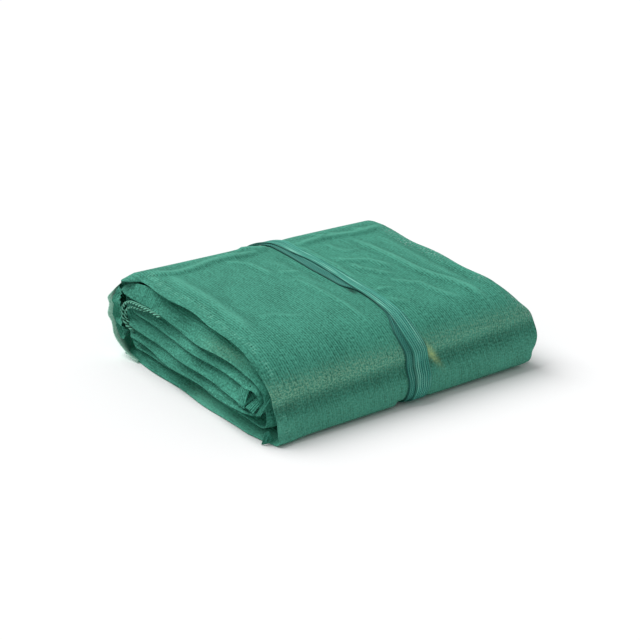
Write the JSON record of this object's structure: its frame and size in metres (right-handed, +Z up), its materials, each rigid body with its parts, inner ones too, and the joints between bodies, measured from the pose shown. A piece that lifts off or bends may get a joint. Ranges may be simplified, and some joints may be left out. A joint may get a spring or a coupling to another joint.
{
  "type": "folded olive harvest net",
  "caption": "Large fine-mesh harvest net folded into a thick strip, rolled flat into a layered bundle and held by a narrow band of net wound round it.",
  "frame": {"origin": "middle of the bundle's outer box, on the surface it lies on", "axes": "+X along the folds, from the ends that show the courses to the other ends; +Y from the smooth front face to the back; +Z up through the courses"},
  "size_m": [0.6488, 0.5716, 0.1774],
  "materials": {
    "net": "soft satin fine mesh",
    "band": "soft satin stitched mesh band"
  },
  "bodies": {
    "root": {"net": "net", "tie": "band"}
  },
  "joints": []
}
